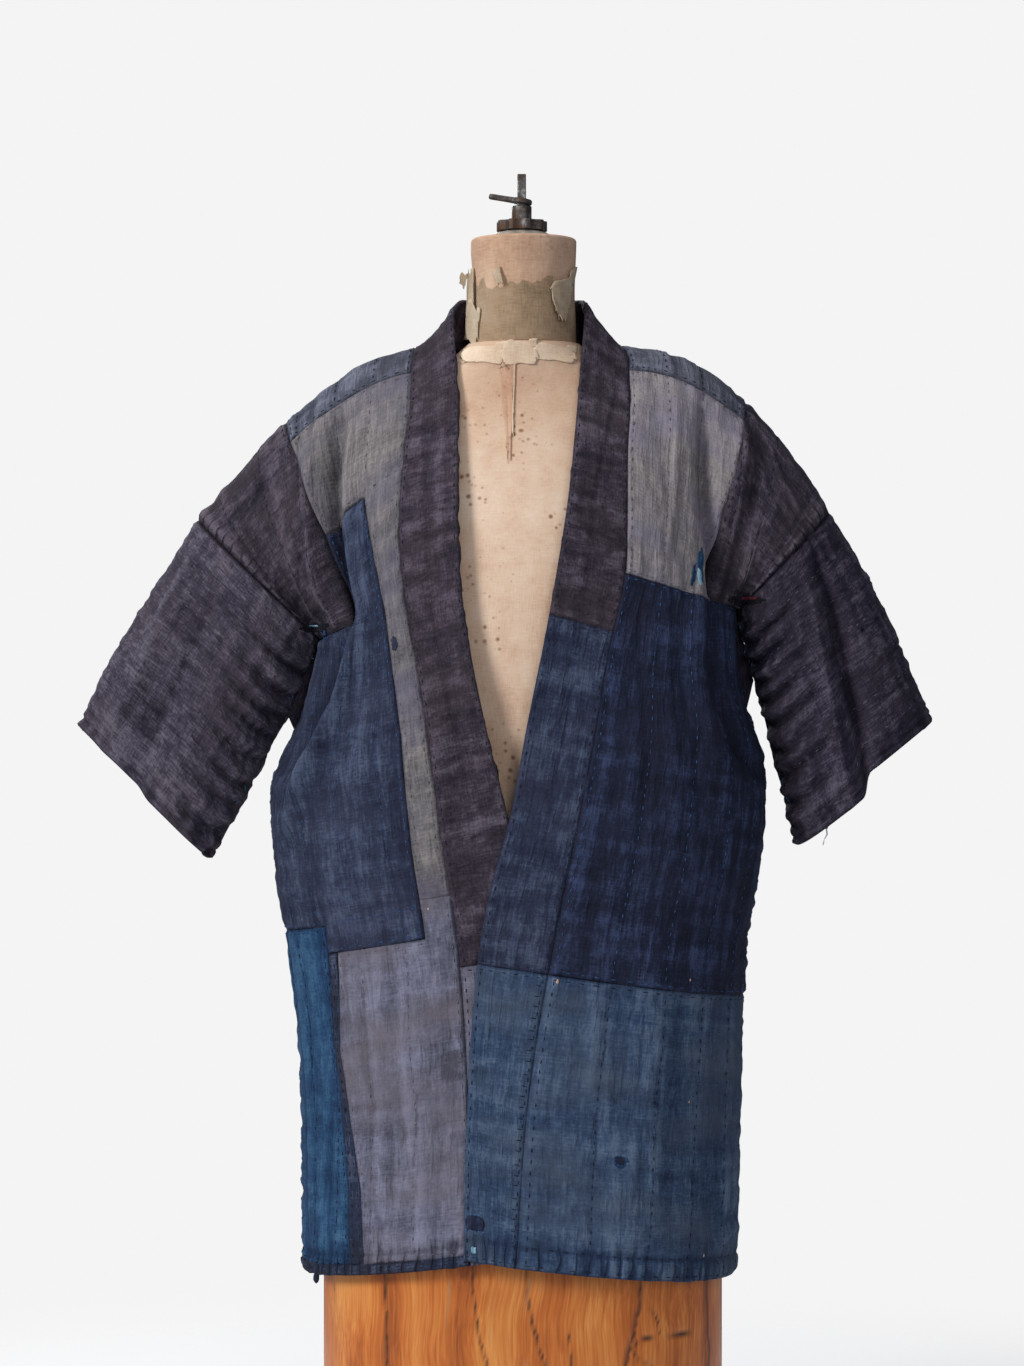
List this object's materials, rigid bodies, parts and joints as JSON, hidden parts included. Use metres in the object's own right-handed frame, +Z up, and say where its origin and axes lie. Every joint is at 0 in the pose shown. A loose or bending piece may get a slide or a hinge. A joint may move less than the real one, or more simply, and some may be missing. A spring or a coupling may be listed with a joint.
{
  "type": "boro noragi jacket on a limbless dress form",
  "caption": "Patchwork work jacket with an open V front and short wide sleeves, worn by an antique dress form that stands on a wood stump.",
  "frame": {"origin": "on the underside of the stump, under the middle of the jacket", "axes": "+Z up; the jacket's front faces -Y; +X is the wearer's left"},
  "size_m": [0.79, 0.292, 1.2429],
  "materials": {
    "plum_cotton": "faded plum-black handwoven cotton, quilted",
    "sleeve_cotton": "rubbed plum-grey handwoven cotton, quilted",
    "taupe_cotton": "washed taupe-grey handwoven cotton",
    "indigo_cotton": "dark indigo handwoven cotton",
    "steel_cotton": "steel-blue faded indigo cotton",
    "lavender_cotton": "grey-lavender handwoven cotton",
    "blue_cotton": "bright indigo cotton",
    "yoke_cotton": "blue-grey handwoven cotton",
    "navy_cotton": "near-black navy cotton",
    "slate_cotton": "slate-blue faded cotton",
    "form_cloth": "aged buff cotton over papier-mache",
    "neck_linen": "grey-brown linen",
    "iron": "dark worn iron",
    "stump_wood": "oiled orange-brown wood"
  },
  "bodies": {
    "root": {"front_left_skirt": "steel_cotton", "front_left_chest": "indigo_cotton", "front_left_shoulder": "taupe_cotton", "cap_left": "plum_cotton", "yoke_left": "yoke_cotton", "back_left_main": "indigo_cotton", "back_left_lower": "steel_cotton", "front_right_binding": "navy_cotton", "front_right_skirt": "lavender_cotton", "front_right_trim": "navy_cotton", "front_right_side": "blue_cotton", "front_right_chest": "indigo_cotton", "front_right_shoulder": "taupe_cotton", "cap_right": "plum_cotton", "yoke_right": "yoke_cotton", "back_right_main": "slate_cotton", "back_right_patch": "indigo_cotton", "back_right_lower": "lavender_cotton", "band_collar": "plum_cotton", "band_left_middle": "indigo_cotton", "band_left_lower": "steel_cotton", "band_right_lower": "lavender_cotton", "sleeve_left": "sleeve_cotton", "sleeve_right": "sleeve_cotton", "form_torso": "form_cloth", "form_neck": "neck_linen", "fitting_cap": "iron", "fitting_collar": "iron", "fitting_boss": "iron", "fitting_lever": "iron", "fitting_rod": "iron", "stump": "stump_wood"}
  },
  "joints": []
}
